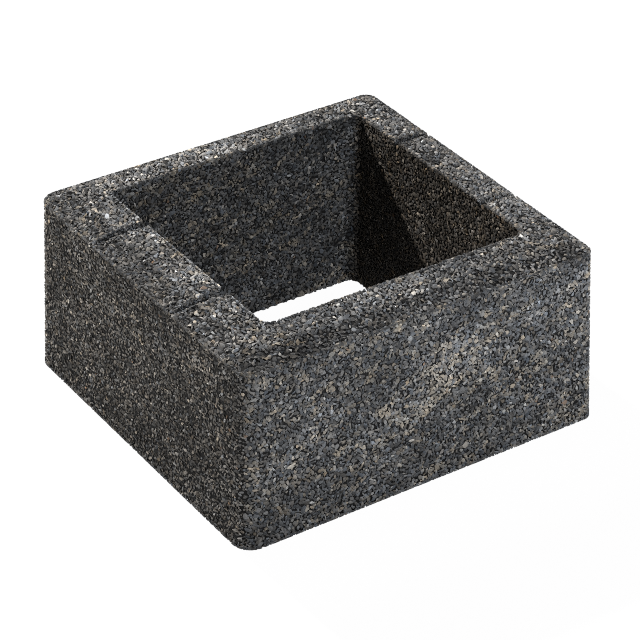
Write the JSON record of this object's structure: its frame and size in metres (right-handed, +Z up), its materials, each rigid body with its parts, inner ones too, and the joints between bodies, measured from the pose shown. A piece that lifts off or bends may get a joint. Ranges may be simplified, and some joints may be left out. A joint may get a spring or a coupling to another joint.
{
  "type": "hollow concrete block",
  "caption": "Squarish hollow block of open-grained concrete with a tapering through cavity, bevelled rim and break grooves across opposite walls, for stacking as a pillar or for planting.",
  "frame": {"origin": "middle of the base, on the floor the block stands on", "axes": "+X along the longer walls, +Y from the thick show wall to the thin back wall, +Z up"},
  "size_m": [0.3998, 0.3858, 0.1905],
  "materials": {
    "concrete": "rough, open-grained"
  },
  "bodies": {
    "root": {"block": "concrete"}
  },
  "joints": []
}
